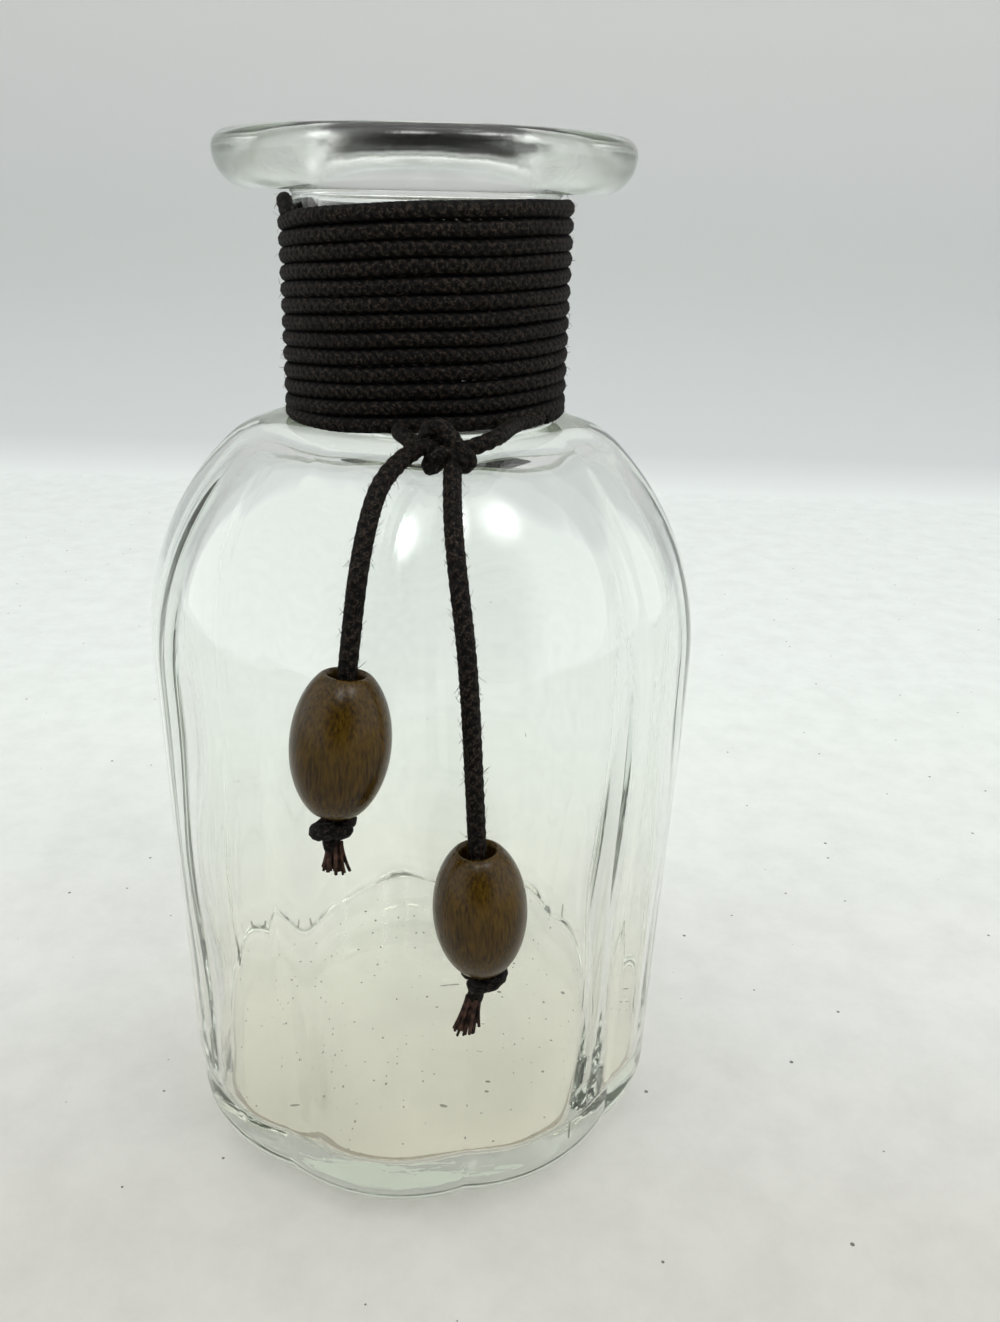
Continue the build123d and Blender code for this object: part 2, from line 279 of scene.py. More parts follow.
outside = [(r, 0.0) for r in np.linspace(0.5, 33.5, 14)]
outside += arc((wall_radius - heel_radius, heel_radius), heel_radius, -90, 0, 40)
outside += [(wall_at(z), z) for z in np.linspace(heel_radius, dome_start, 60)[1:]]
outside += arc((0, dome_start), shoulder_radius, 0, edge_turn, 44)[1:]
outside += arc((shelf_radius, edge_centre), shelf_edge, edge_turn, 90, 16)[1:]
outside += [(r, shelf_height) for r in (21.3, 20.5)]
outside += arc((neck_radius + neck_fillet, shelf_height + neck_fillet), neck_fillet, -90, -180, 7)
outside += [(neck_radius, z) for z in np.linspace(shelf_height + 2, lip_underside - 2, 16)]
outside += arc((neck_radius + lip_fillet, lip_underside - lip_fillet), lip_fillet, 180, 90, 7)
outside += [(r, lip_underside) for r in np.linspace(20.6, 23.4, 4)]
lip_widest = lip_underside + lip_under_round
outside += arc((lip_radius - lip_under_round, lip_widest), lip_under_round, -90, 0, 24)
outside += arc((lip_radius - lip_top_round, lip_widest), lip_top_round, 0, 90, 14)[1:]
lip_top = lip_widest + lip_top_round
outside += [(r, lip_top) for r in np.linspace(26, bore_radius + mouth_round + 0.5, 6)]
outside += arc((bore_radius + mouth_round, lip_top - mouth_round), mouth_round, 90, 180, 24)
flare, turn_in = 14.0, shelf_edge - glass_wall
flare_across = bore_radius + flare - shelf_radius
flare_rise = math.sqrt((flare + turn_in) ** 2 - flare_across ** 2)
flare_turn = math.degrees(math.atan2(flare_rise, flare_across))
inside = [(bore_radius, z) for z in np.linspace(152, edge_centre + flare_rise + 0.5, 16)]
inside += arc((bore_radius + flare, edge_centre + flare_rise), flare, 180, 180 + flare_turn, 24)
inside += arc((shelf_radius, edge_centre), turn_in, flare_turn, edge_turn, 14)[1:]
inside += arc((0, dome_start), shoulder_radius - glass_wall, edge_turn, 0, 44)[1:]
corner_top = floor_thickness + floor_corner
inside += [(wall_at(z) - glass_wall, z) for z in np.linspace(dome_start, corner_top, 56)[1:]]
corner_centre = wall_at(corner_top) - glass_wall - floor_corner
inside += arc((corner_centre, corner_top), floor_corner, 0, -90, 26)[1:]
inside += [(corner_centre - 0.3, floor_thickness)]
# Rows along the floor's corner, where a dark line is painted.
dark_line_rows = range(len(outside) + len(inside) - 5, len(outside) + len(inside))
inside += [(r, floor_thickness) for r in np.linspace(corner_centre - 0.35, 0.5, 20)]
print("outline points", len(outside), "outside,", len(inside), "inside")

# %% [markdown]
# Nine shallow flutes run down the body. Outside, each lobe is part of a circle and meets the
# next at a soft crease, deepest near the base. Inside, the glass flowed into a smooth wave with
# a rounded rib behind each crease. Flutes fade out towards the neck and under the base. A
# pressed bottle is never quite even, so the inside waves by a quarter of a millimetre, the
# floor is heaped towards the back, there are low folds at the root of the neck, and the lip
# leans a little. A dark line painted along the corner round the floor, strongest in front, is
# kept as an attribute.

# %% Flutes and waves
lobe_count, lobe_turn = 9, math.radians(33.4 - 90)
columns = lobe_count * 40
turns = lobe_turn + 2 * math.pi * np.arange(columns) / columns


def lobed(radius, depth):
    """Radius round the outside where lobes of this depth meet at creases."""
    half = math.pi / lobe_count
    off = (turns - lobe_turn + half) % (2 * half) - half
    if depth < 1e-4:
        return np.full(columns, radius)
    crease = radius - depth
    centre = (radius ** 2 - crease ** 2) / (2 * (radius - crease * math.cos(half)))
    bend = radius - centre
    return centre * np.cos(off) + np.sqrt(bend ** 2 - (centre * np.sin(off)) ** 2)


def ribbed(radius, depth):
    """Radius round the inside, with a rounded rib behind each crease."""
    wave = (1 - np.cos(lobe_count * (turns - lobe_turn))) / 2
    return radius - depth * wave ** 1.6


def share(value, low, full):
    """0 up to low, 1 from full on, and a straight rise between them."""
    return max(0.0, min(1.0, (value - low) / (full - low)))


crease_depth, extra_at_base = 0.8, 0.45
rib_depth, extra_at_floor = 1.3, 0.6
unevenness, fold_height, heap_height = 0.26, 0.16, 3.6
lean_right, lean_back = 0.011, 0.033
full_inside = wall_radius - glass_wall
rows = []
for r, z in outside:
    flute = share(r, shelf_radius, wall_radius) if z < shelf_height - 0.01 else 0.0
    depth = crease_depth + extra_at_base * (1 - share(z, 4, 16))
    rows.append((lobed(r, depth * flute), z))
for r, z in inside:
    flute = share(r, shelf_radius, full_inside) if z < cavity_top - 0.01 else 0.0
    uneven = unevenness * flute * (
        np.sin(2 * turns + z / 17) * math.sin(z / 11 + 0.6)
        + 0.6 * np.sin(5 * turns - z / 9 + 1.3)
    )
    depth = rib_depth + extra_at_floor * (1 - share(z, 14, 45))
    rows.append((ribbed(r, depth * flute) + uneven, z))
rings, dust_line = [], []
for place, (radii, z) in enumerate(rows):
    x, y = radii * np.cos(turns), radii * np.sin(turns)
    if place >= len(outside):
        drape = share(z, 98, 112) * share(radii.mean(), 16.5, 20)
        folds = np.sin(4 * turns + 0.9 + z / 6) + 0.7 * np.sin(7 * turns - z / 5)
        folds += 0.5 * np.sin(11 * turns + 2)
        heaped = heap_height * np.clip(y / 36, 0, 1) ** 2 * (1 - share(z, 12, 45))
        z = z + fold_height * drape * folds + heaped
    # The painted dark line is strongest in front and fades out towards the back.
    on_dark_line = place in dark_line_rows
    dust_line.append(np.clip(0.3 - y / 30, 0, 1) if on_dark_line else np.zeros(columns))
    in_lip = np.clip((z - lip_underside + 4) / 4, 0, 1)
    rings.append(np.stack([x, y, z + in_lip * (lean_right * x + lean_back * y)], 1))
glass_points = np.concatenate(rings) * mm
glass_faces = tube_faces(len(rows), columns)
glass = new_object("glass_body", glass_points, glass_faces, dust_line=np.concatenate(dust_line))
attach(glass, "bottle")
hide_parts("glass_bottle")
print("glass faces", len(glass.data.polygons))

# %% [markdown]
# Materials are networks of small nodes. These helpers keep them short: one starts a material,
# one adds a node and fills its sockets, and the others are the few nodes used again and
# again. Every texture is read in the piece's own coordinates, so that it stays on the piece
# when the piece moves.

# %% Helpers for materials
def shader(name):
    """A new node material, its tree and its main shader."""
    made = bpy.data.materials.new(name)
    made.use_nodes = True
    return made, made.node_tree, made.node_tree.nodes["Principled BSDF"]


def fill(tree, node, values):
    """Sets sockets: a plain value is written in, a socket of another node is wired."""
    for socket, value in values.items():
        if isinstance(value, bpy.types.NodeSocket):
            tree.links.new(value, node.inputs[socket])
        else:
            node.inputs[socket].default_value = value
    return node


def add(tree, kind, values, **settings):
    """A new node of this kind with its settings and the values of its sockets."""
    node = tree.nodes.new("ShaderNode" + kind)
    for setting, value in settings.items():
        setattr(node, setting, value)
    return fill(tree, node, values)


def maths(tree, operation, first, second):
    """One sum, product or comparison of two values."""
    return add(tree, "Math", {0: first, 1: second}, operation=operation).outputs["Value"]


def spread(tree, value, low, high, to_low=0.0, to_high=1.0, kind="LINEAR"):
    """A value carried over from one range to another."""
    ends = {"From Min": low, "From Max": high, "To Min": to_low, "To Max": to_high}
    made = add(tree, "MapRange", {"Value": value, **ends}, interpolation_type=kind)
    return made.outputs["Result"]


def noise(tree, place, scale, detail, roughness=0.5, distortion=0.0):
    """Cloudy noise between 0 and 1. Scale is how many clouds fit into a metre."""
    look = {"Scale": scale, "Detail": detail, "Roughness": roughness, "Distortion": distortion}
    return add(tree, "TexNoise", {"Vector": place, **look}).outputs["Fac"]


def ramped(tree, value, stops):
    """Colours along a value: each stop is a position and a colour."""
    made = add(tree, "ValToRGB", {"Fac": value})
    ramp = made.color_ramp.elements
    for position, colour in stops[1:-1]:
        ramp.new(position)
    for stop, (position, colour) in zip(ramp, stops):
        stop.position = position
        stop.color = (*colour, 1)
    return made.outputs["Color"]


def mixed(tree, amount, first, second, way="MIX"):
    """Two colours blended."""
    values = {"Factor": amount, 6: first, 7: second}
    return add(tree, "Mix", values, data_type="RGBA", blend_type=way).outputs[2]


def bumped(tree, strength, distance, height, over=None):
    """The surface's direction where it is embossed, over another bump if there is one."""
    values = {"Strength": strength, "Distance": distance, "Height": height}
    if over is not None:
        values["Normal"] = over
    return add(tree, "Bump", values).outputs["Normal"]


def specks(tree, place, scale, rare_above, size):
    """Distance to the nearest of some scattered specks, and that speck's own size."""
    cells = add(tree, "TexVoronoi", {"Vector": place, "Scale": scale}, voronoi_dimensions="2D")
    which = add(tree, "SeparateColor", {"Color": cells.outputs["Color"]}).outputs["Red"]
    return cells.outputs["Distance"], spread(tree, which, rare_above, 1.0, 0.0, size)


def own_place(tree):
    """Where a point is on its own piece, in metres."""
    return add(tree, "TexCoord", {}).outputs["Object"]


def height_of(tree, place):
    return add(tree, "SeparateXYZ", {"Vector": place}).outputs["Z"]


# %% [markdown]
# Soda-lime glass bends light by 1.5 and is faintly green in depth. The green is set as an
# absorption inside the volume, so that the thin walls stay clear and the thick lip and base
# take colour. Near the floor it is a little warmer. The moulded lip has a fine skin, the floor
# has ripples and specks of dust, and a dark brown line is painted along the floor's corner. For
# shadows only, the glass is nearly clear: path tracing would otherwise find almost no light
# through it and draw the bottle's shadow black.

# %% Glass
clear_glass, tree, surface = shader("clear_glass")
place = own_place(tree)
height = height_of(tree, place)
tint_stops = [(0, (1.0, 0.982, 0.935)), (1, (0.985, 0.995, 0.985))]
tint = ramped(tree, spread(tree, height, 9.0 * mm, 55.0 * mm), tint_stops)
from_speck, speck_size = specks(tree, place, scale=460.0, rare_above=0.72, size=0.13)
on_speck = maths(tree, "LESS_THAN", from_speck, speck_size)
low_down = maths(tree, "LESS_THAN", height, (floor_thickness + 3.4) * mm)
above_floor = maths(tree, "GREATER_THAN", height, (floor_thickness - 0.3) * mm)
near_floor = maths(tree, "MULTIPLY", low_down, above_floor)
in_corner = add(tree, "Attribute", {}, attribute_name="dust_line").outputs["Fac"]
# A dark brown line painted along the floor's corner, then dark specks of dust near the floor.
lined = mixed(tree, in_corner, tint, (0.30, 0.26, 0.20, 1))
specked_and_lined = mixed(tree, maths(tree, "MULTIPLY", on_speck, near_floor), lined, (0.16, 0.15, 0.13, 1))

at_lip = spread(tree, height, (lip_underside - 1) * mm, (lip_underside + 1) * mm)
skin = noise(tree, place, scale=700.0, detail=9.0, roughness=0.62)
skin_bump = bumped(tree, maths(tree, "MULTIPLY", at_lip, 0.35), 0.00012, skin)
floor_top = (floor_thickness + 5.5) * mm
at_floor = spread(tree, height, floor_top, floor_top - 2 * mm, to_high=0.22)
ripples = noise(tree, place, scale=130.0, detail=3.0)
rippled = maths(tree, "MULTIPLY", at_floor, above_floor)
both_bumps = bumped(tree, rippled, 0.0008, ripples, over=skin_bump)
fill(tree, surface, {
    "Base Color": specked_and_lined, "Normal": both_bumps, "Roughness": 0.0, "IOR": 1.5,
    "Transmission Weight": 1.0,
})
see_through = add(tree, "BsdfTransparent", {"Color": (0.99, 0.995, 0.985, 1)}).outputs["BSDF"]
in_shadow = add(tree, "LightPath", {}).outputs["Is Shadow Ray"]
both = {"Fac": in_shadow, 1: surface.outputs["BSDF"], 2: see_through}
depth_tint = add(tree, "VolumeAbsorption", {"Color": (0.33, 0.42, 0.29, 1), "Density": 7.0})
fill(tree, tree.nodes["Material Output"], {
    "Surface": add(tree, "MixShader", both).outputs["Shader"],
    "Volume": depth_tint.outputs["Volume"],
})
glass.data.materials.append(clear_glass)
print("glass nodes", len(tree.nodes))

# %% [markdown]
# Nearly fourteen turns of the same cord wrap the neck, and thirteen rows show in front. The
# maker wound it by hand from under the lip down, so the turns touch, lean up to the right,
# wander a little and press each other out of round. One helix with small slow waves in its
# height gives that. Its start is tucked down into the row below at the left of the lip, and it
# ends at the right, where it leaves for the knot.

# %% Winding
wound_diameter, row_pitch = 2.08, 2.2
winding_radius = neck_radius + 0.05 + wound_diameter / 2
start_turn, end_turn, front_passes = -63.0, 60.0, 13
winding_turns = front_passes + 1 + (start_turn - end_turn) / 360
sweep = np.linspace(0, 1, 6000)
turns_done = winding_turns * sweep
first_front = 1 + start_turn / 360
last_front = first_front + front_passes - 1
on_shelf = shelf_height + 0.1 + wound_diameter / 2
under_lip = lip_underside + 0.25 - wound_diameter / 2
first_row = under_lip - row_pitch
around_neck = np.radians(start_turn - 90 - 360 * turns_done)
winding_z = np.interp(
    turns_done,
    [0, first_front, last_front, winding_turns],
    [under_lip, first_row, first_row - row_pitch * (front_passes - 1), on_shelf],
)
tuck_depth, tuck_turns, row_lean = 2.5, 0.03, 0.045
tuck = np.clip(turns_done / tuck_turns, 0, 1)
winding_z -= tuck_depth * (1 - tuck * tuck * (3 - 2 * tuck))
lean = row_lean * winding_radius * np.cos(around_neck)
wander = 0.09 * np.sin(3 * around_neck + 0.8) + 0.05 * np.sin(7 * around_neck)
wander += 0.05 * np.sin(1.37 * around_neck) + 0.04 * np.sin(5.21 * around_neck + 2)
fade = np.clip(np.minimum(sweep, 1 - sweep) * 20, 0, 1)
winding_path = np.stack([
    winding_radius * np.cos(around_neck),
    winding_radius * np.sin(around_neck),
    np.maximum(winding_z + lean + wander * fade, on_shelf),
], 1) * mm
winding = braided(
    "neck_cord", winding_path, (wound_diameter + 0.08) * mm,
    spacing=0.22 * mm, around=18, ends=0.85, press=1.10,
)
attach(winding, "bottle")
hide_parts("neck_winding")
print("winding", round(length_of(winding_path), 2), "m,", len(winding.data.vertices), "points")

# %% [markdown]
# The knot ties the cord's two ends in front of the shelf. It is made of five short NURBS lines,
# each point given from the knot's centre: across, up, and towards the viewer.
# The left strand comes out from under the winding, goes over the top as a bight and dives
# behind. The right one goes behind, turns under at the lower left and crosses in front. Two
# more carry the ends out of the knot to the tails, and a core fills the middle.

# %% Knot
knot_centre = Vector((5.5, -30.203, 120.722))
knot_cord_diameter = 2.25 * mm


def from_knot(*route):
    """Points given from the knot's centre: across, up and towards the viewer, in mm."""
    return [(knot_centre + Vector((across, -forward, up))) * mm for across, up, forward in route]


under_winding = [Vector((-2.0, -20.9, 120.4)) * mm, Vector((-1.7, -23.4, 120.4)) * mm]
winding_end = Vector(winding_path[-1])
leave = Vector((-math.cos(math.radians(end_turn)), -math.sin(math.radians(end_turn)), -0.0168))
off_winding = [winding_end, winding_end + leave * 3 * mm, winding_end + leave * 8.5 * mm]
knot_routes = {
    "knot_left_strand": under_winding + from_knot(
        (-6.6, 0.0, -4.0), (-5.3, -0.5, -2.2), (-4.0, -1.0, -1.0), (-3.3, -0.1, -0.2),
        (-3.0, 1.3, 0.2), (-1.8, 2.1, 0.6), (-0.6, 1.4, 1.0), (0.3, 0.3, 1.5),
        (1.2, -0.7, 1.8), (2.2, -1.7, 1.3), (2.3, -2.7, 0.4), (1.2, -3.2, -0.4),
        (-0.2, -2.7, -0.6),
    ),
    "knot_right_strand": off_winding + from_knot(
        (6.1, 0.4, -2.4), (3.6, -0.5, -0.9), (1.8, -1.0, -0.3), (0.0, -1.9, -1.2),
        (-1.7, -2.9, -1.0), (-2.7, -3.5, -0.1), (-2.7, -2.6, 1.1), (-1.7, -1.6, 1.8),
        (-0.2, -1.0, 2.0), (1.2, -1.7, 2.0), (1.9, -2.6, 1.3),
    ),
    "knot_left_exit": from_knot(
        (-0.6, -2.1, 0.2), (-1.6, -0.9, 0.9), (-3.0, -0.5, 1.0), (-4.3, -1.0, 1.0),
        (-5.0, -1.3, 1.8),
    ),
    "knot_right_exit": from_knot(
        (-0.9, -1.3, 0.6), (-0.3, -1.7, 1.3), (0.2, -2.3, 1.9), (0.3, -2.7, 2.3),
        (0.34, -3.4, 3.2),
    ),
    "knot_core": from_knot(
        (-2.6, 0.7, -0.3), (-1.4, 0.6, 0.0), (-0.4, 0.1, 0.2), (0.9, -1.0, 0.2),
    ),
}
knot_pieces = {}
for name, route in knot_routes.items():
    piece = braided(name, smooth_line(route), knot_cord_diameter, spacing=0.2 * mm, ends=0.4)
    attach(piece, "bottle")
    knot_pieces[name] = piece
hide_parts("left_strand", "tie_knot")
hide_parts("right_strand")
print("knot pieces", len(knot_pieces))

# %% [markdown]
# Each bead is turned on a lathe from close-grained wood, so it is drawn as an outline spun
# about the cord: an oval side, a narrow bevel, and a hole right through. Its own axis follows
# the last stretch of the cord, so the outline is spun about that line. The hole is wide enough
# for the bead to slide up to where the cord begins to bend.

# %% Beads
def axis_frame(points):
    """Down direction of a tail's last run, and two directions across it."""
    down = (Vector(points[-1]) - Vector(points[-2])).normalized()
    right = Vector((1, 0, 0))
    right = (right - down * right.dot(down)).normalized()
    return down, right, down.cross(right)


def spun(name, outline, origin, up, right, back, around=72):
    """A closed lathe shape from an outline of radius and height in millimetres."""
    outline = np.array(outline) * mm
    angle = 2 * math.pi * np.arange(around) / around
    up, right, back, origin = (np.array(v) for v in (up, right, back, origin))
    out = right[None, :] * np.cos(angle)[:, None] + back[None, :] * np.sin(angle)[:, None]
    vertices = origin + outline[:, None, :1] * out[None] + outline[:, None, 1:] * up
    faces = []
    count = len(outline)
    for i in range(count):
        for j in range(around):
            k, n = (j + 1) % around, (i + 1) % count
            faces.append((i * around + j, i * around + k, n * around + k, n * around + j))
    return new_object(name, vertices.reshape(-1, 3), faces)


bead_radius, bead_half, bead_end, bead_hole = 6.1, 8.8, 2.9, 2.26
bead_above_end = 0.3
long_radius = bead_half / math.sqrt(1 - (bead_end / bead_radius) ** 2)
side_turn = math.asin(bead_half / long_radius)
oval = [
    (bead_radius * math.cos(t), long_radius * math.sin(t))
    for t in np.linspace(-side_turn + 0.05, side_turn - 0.05, 56)
]
bevel = [(bead_end - 0.05, bead_half - 0.06), (bead_end - 0.2, bead_half)]
hole_edge = [(bead_hole + 0.25, bead_half), (bead_hole, bead_half - 0.7)]
top_end = bevel + hole_edge
bottom_end = [(r, -z) for r, z in reversed(top_end)]
hole = [(bead_hole, z) for z in np.linspace(bead_half - 1, 1 - bead_half, 10)]
bead_outline = oval + top_end + hole + bottom_end
beads = {}
for side, points in (("left", left_tail_points), ("right", right_tail_points)):
    down, right, back = axis_frame(points)
    centre = Vector(points[-1]) - down * (bead_half + bead_above_end) * mm
    bead = spun(f"{side}_wood_bead", bead_outline, centre, -down, right, back)
    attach(bead, f"{side}_bead")
    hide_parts(f"{side}_bead")
    beads[side] = (bead, centre, down, right, back)
print("beads", [tuple(round(v / mm, 1) for v in b[1]) for b in beads.values()])

# %% [markdown]
# Under each bead the cord is knotted, so that the bead can't slip off. The stop knot is the
# cord's own line, wrapped once round itself. Its points are given from the end of the cord:
# across, towards the viewer and down, in millimetres.

# %% Stop knots
def from_tail(side, across, toward, fall):
    """A point under a bead: across, towards the viewer and down from the cord's end, in mm."""
    points = left_tail_points if side == "left" else right_tail_points
    down, right, back = axis_frame(points)
    return Vector(points[-1]) + (right * across - back * toward + down * fall) * mm


stop_routes = {
    "left": [
        (0.0, 0.0, -3.0), (0.2, 0.0, 0.4), (1.9, 0.4, 1.0), (1.3, 1.7, 1.5),
        (-0.6, 1.9, 2.3), (-1.9, 1.0, 3.0), (-2.0, -0.7, 2.7), (-0.3, -1.8, 1.7),
        (1.5, -1.2, 1.5), (1.3, 0.6, 2.5), (0.0, 0.9, 3.3), (-0.5, 0.4, 4.0),
        (0.2, 0.2, 5.2),
    ],
    "right": [
        (0.0, 0.0, -3.0), (-0.3, 0.0, 0.3), (-2.1, 0.3, 1.0), (-1.9, 1.8, 1.4),
        (0.1, 2.3, 1.5), (2.1, 1.6, 1.4), (2.3, -0.4, 1.2), (1.0, -1.9, 1.3),
        (-1.1, -1.7, 1.7), (-1.2, 0.0, 2.6), (-0.8, 0.4, 3.8), (-1.5, 0.4, 6.0),
    ],
}
stops = {}
for side, route in stop_routes.items():
    line = smooth_line([from_tail(side, *point) for point in route])
    stops[side] = braided(f"{side}_stop_cord", line, cord_diameter, spacing=0.2 * mm, ends=0.2)
    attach(stops[side], f"{side}_tail")
    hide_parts(f"{side}_stop_knot")
    print(side, "stop knot", round(length_of(line) / mm, 1), "mm of cord")

# %% [markdown]
# The wax holds the braid together as far as the stop knot. Below it the cord is cut and its
# yarns spring apart, so the tuft is a bundle of separate tapering yarns. Each shape gives how
# far the tuft falls, how much it leans, where it starts and where its middle is.

# %% Frayed yarns
def thin_tubes(name, lines, radii, around=6):
    """Many thin tapering threads in one mesh."""
    vertices, faces, count = [], [], 0
    angle = 2 * math.pi * np.arange(around)[None, :, None] / around
    for line, radius in zip(lines, radii):
        line = np.asarray(line, float)
        tangent, side, other = frames_along(line)
        taper = radius * np.linspace(1, 0.7, len(line))
        out = side[:, None] * np.cos(angle) + other[:, None] * np.sin(angle)
        vertices.append((line[:, None] + out * taper[:, None, None]).reshape(-1, 3))
        faces += tube_faces(len(line), around, count)
        count += len(line) * around
    return new_object(name, np.concatenate(vertices), faces)


chance = random.Random(11)
yarn_count, tuft_radius = 26, 0.95
fray_shapes = {"left": (3.6, 0.1, 4.9, 0.1), "right": (5.0, -0.27, 5.6, -1.3)}
tufts = {}
for side, (drop, lean_by, start, base_x) in fray_shapes.items():
    lines, radii = [], []
    for _ in range(yarn_count):
        angle = chance.uniform(0, 2 * math.pi)
        off_centre = tuft_radius * math.sqrt(chance.random())
        x, y = off_centre * math.cos(angle), off_centre * math.sin(angle)
        flare = chance.uniform(1.1, 2.2)
        reach = drop * chance.uniform(0.72, 1.0)
        path = []
        for t in np.linspace(0, 1, 9):
            grow = 1 + (flare - 1) * t ** 1.6
            bend = lean_by * reach * t
            path.append(tuple(from_tail(
                side, base_x + x * grow + bend, 0.3 + y * grow,
                start - 0.8 + (reach + 0.8) * t,
            )))
        lines.append(path)
        radii.append(chance.uniform(0.20, 0.36) * mm)
    tufts[side] = thin_tubes(f"{side}_frayed_yarns", lines, radii)
    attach(tufts[side], f"{side}_tail")
    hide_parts(f"{side}_frayed_end")
print("frayed yarns", sum(len(t.data.vertices) for t in tufts.values()), "points")

# %% [markdown]
# Cotton cord is fuzzy. Short fibres stand off it everywhere, and they show most against the
# pale background. They are single threads a twentieth of a millimetre thick, seeded so that
# each run gives the same ones.

# %% Stray fibres
def stray_fibres(name, line, radius, count, seed):
    """Short curved fibres that stand off a cord's surface."""
    source = random.Random(seed)
    line = evenly(line, 0.3 * mm)
    tangent, side, other = frames_along(line)
    lines, radii = [], []
    for _ in range(count):
        i = source.randrange(4, len(line) - 4)
        angle = source.uniform(0, 2 * math.pi)
        out = side[i] * math.cos(angle) + other[i] * math.sin(angle)
        along = tangent[i] * source.choice((-1, 1))
        around_cord = np.cross(tangent[i], out) * source.uniform(-1, 1)
        reach = source.uniform(0.35, 1.3) * mm
        rise = source.uniform(0.25, 0.8)
        path = []
        for t in np.linspace(0, 1, 6):
            path.append(line[i] + out * (radius * 0.94 + reach * rise * t ** 0.8)
                        + along * reach * t * 0.8 + around_cord * reach * t ** 2 * 0.7)
        lines.append(path)
        radii.append(source.uniform(0.018, 0.035) * mm)
    return thin_tubes(name, lines, radii, around=4)


fuzz = [
    (stray_fibres("winding_fibres", winding_path, 1.04 * mm, 2400, 3), "bottle"),
    (stray_fibres("left_tail_fibres", left_tail_line, 1.15 * mm, 240, 5), "left_tail"),
    (stray_fibres("right_tail_fibres", right_tail_line, 1.15 * mm, 360, 7), "right_tail"),
]
for piece, body in fuzz:
    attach(piece, body)

# %% [markdown]
# The cord is near black brown. Its yarn crowns are painted lighter, as painted highlights, and
# its fibres break the colour up into fine light and dark flecks. The braid's height, kept as an
# attribute, paints shade that makes the grooves between yarns almost black. Little light is
# mirrored: a strong mirror would turn a dark cord grey in a bright room.

# %% Waxed cord
waxed_cord, tree, surface = shader("waxed_cord")
place = own_place(tree)
crown = add(tree, "Attribute", {}, attribute_name="crown").outputs["Fac"]
blotches = noise(tree, place, scale=260.0, detail=6.0)
fibres = noise(tree, place, scale=2800.0, detail=6.0, roughness=0.7)
# Painted light and shade: yarn crowns lighter with fibre streaks, grooves almost black.
lit_crowns_shaded_grooves = spread(tree, crown, 0.15, 0.60, kind="SMOOTHSTEP")
lit_and_shaded_tone = ramped(tree, maths(tree, "MULTIPLY", lit_crowns_shaded_grooves, fibres), [
    (0.32, (0.0005, 0.0004, 0.0003)), (0.48, (0.0030, 0.0025, 0.0020)),
    (0.66, (0.042, 0.033, 0.026)),
])
dye = ramped(tree, blotches, [(0.3, (0.55, 0.50, 0.50)), (0.7, (1.35, 1.25, 1.15))])
fill(tree, surface, {
    "Base Color": mixed(tree, 0.7, lit_and_shaded_tone, dye, way="MULTIPLY"),
    "Roughness": spread(tree, fibres, 0.0, 1.0, 0.5, 0.8),
    "Specular IOR Level": 0.09,
    "Normal": bumped(tree, 0.6, 0.00012, fibres),
})
cord_pieces = [left_tail, right_tail, winding, *knot_pieces.values(), *stops.values()]
for piece in cord_pieces:
    piece.data.materials.append(waxed_cord)
print("waxed cord on", len(cord_pieces), "pieces")

# %% [markdown]
# Loose fibres and cut yarns catch more light than the waxed braid, and the cut ones show some
# of the undyed red-brown cotton, so their colour is lighter: partly the cotton's own red-brown,
# partly painted light.

# %% Loose fibres
loose_fibre, tree, surface = shader("loose_fibre")
streaks = noise(tree, own_place(tree), scale=900.0, detail=4.0)
# The lighter stop is partly the undyed cotton's red-brown, partly painted light.
red_brown_and_painted_light = [(0.35, (0.006, 0.004, 0.003)), (0.75, (0.085, 0.045, 0.032))]
fill(tree, surface, {
    "Base Color": ramped(tree, streaks, red_brown_and_painted_light),
    "Roughness": 0.7,
    "Specular IOR Level": 0.1,
})
for piece in [*tufts.values(), *(f[0] for f in fuzz)]:
    piece.data.materials.append(loose_fibre)

# %% [markdown]
# The beads are stained olive brown and varnished. Wood grain runs along the bead: a noise
# that is squeezed across and stretched along the axis gives its fine lines, and a broader one
# gives the darker heart. The varnish is smooth but soft, so its highlights are set by a low
# roughness and need no layer of their own.

# %% Stained wood
def stained_wood(name, centre, down, right, back):
    made, tree, surface = shader(name)
    turned = {
        "Vector": own_place(tree), "Location": centre,
        "Rotation": Matrix((right, back, -down)).transposed().to_euler(),
    }
    along = add(tree, "Mapping", turned, vector_type="TEXTURE").outputs["Vector"]
    fine = add(tree, "Mapping", {"Vector": along, "Scale": (1, 1, 0.12)}).outputs["Vector"]
    broad = add(tree, "Mapping", {"Vector": along, "Scale": (1, 1, 0.35)}).outputs["Vector"]
    grain = noise(tree, fine, scale=3000.0, detail=5.0, roughness=0.6)
    figure = noise(tree, broad, scale=170.0, detail=3.0, distortion=0.6)
    both = add(tree, "Mix", {"Factor": 0.35, 2: grain, 3: figure}).outputs[0]
    stain = [(0.34, (0.007, 0.0030, 0.0002)), (0.66, (0.082, 0.045, 0.0040))]
    fill(tree, surface, {
        "Base Color": ramped(tree, both, stain),
        "Roughness": 0.24,
        "Specular IOR Level": 0.2,
        "Normal": bumped(tree, 0.25, 0.00008, grain),
    })
    return made


for side, (bead, *place_of) in beads.items():
    bead.data.materials.append(stained_wood(f"{side}_stained_wood", *place_of))
